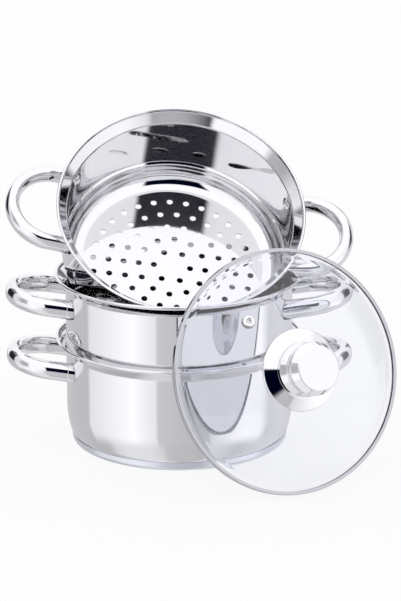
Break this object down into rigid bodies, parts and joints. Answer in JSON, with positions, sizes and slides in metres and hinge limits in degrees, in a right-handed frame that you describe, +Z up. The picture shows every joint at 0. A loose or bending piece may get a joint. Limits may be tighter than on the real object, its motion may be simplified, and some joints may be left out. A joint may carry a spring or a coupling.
{
  "type": "steamer pot",
  "caption": "Stacking stainless steel steamer pot: a base pot with an encapsulated base, perforated steamers with loop handles, and a domed glass lid with a steel knob.",
  "frame": {"origin": "centre of the base pot's underside, on the surface that it stands on", "axes": "+Z up, along the base pot's own axis; +X to the viewer's right, through the base pot's handles; -Y towards the viewer"},
  "size_m": [0.3415, 0.291, 0.2845],
  "materials": {
    "polished_steel": "mirror-polished stainless steel",
    "plain_steel": "plain bright stainless steel",
    "core_aluminium": "as-rolled aluminium, closed in",
    "lid_glass": "clear tempered glass",
    "seal_silicone": "translucent silicone",
    "insert_plastic": "moulded heat-proof plastic"
  },
  "bodies": {
    "base_pot": {"base_shell": "polished_steel", "base_heat_core": "core_aluminium", "base_core_cover": "polished_steel", "base_handle_left": "polished_steel", "base_handle_right": "polished_steel", "base_handle_feet_left": "polished_steel", "base_handle_feet_right": "polished_steel", "base_rivets": "plain_steel"},
    "middle_steamer": {"middle_shell": "polished_steel", "middle_handle_left": "polished_steel", "middle_handle_right": "polished_steel", "middle_handle_feet_left": "polished_steel", "middle_handle_feet_right": "polished_steel", "middle_rivets": "plain_steel"},
    "top_steamer": {"top_shell": "polished_steel", "top_handle_left": "polished_steel", "top_handle_right": "polished_steel", "top_handle_feet_left": "polished_steel", "top_handle_feet_right": "polished_steel", "top_rivets": "plain_steel"},
    "lid": {"lid_glass": "lid_glass", "lid_rim_band": "polished_steel", "vent_eyelet": "polished_steel", "vent_washer": "seal_silicone", "knob_rosette": "polished_steel", "knob_neck": "polished_steel", "knob_cap": "polished_steel", "knob_insert": "insert_plastic", "knob_seal": "seal_silicone", "knob_washer": "plain_steel", "knob_screw": "plain_steel"}
  },
  "joints": [
    {"name": "middle_lift", "type": "slide", "parent": "base_pot", "child": "middle_steamer", "axis": [0, 0, 1], "range_m": [0, 0.12]},
    {"name": "top_lift", "type": "slide", "parent": "middle_steamer", "child": "top_steamer", "axis": [0, 0, 1], "range_m": [0, 0.12]},
    {"name": "lid_lift", "type": "slide", "parent": "base_pot", "child": "lid", "axis": [0, 0, 1], "range_m": [0, 0.12]}
  ]
}
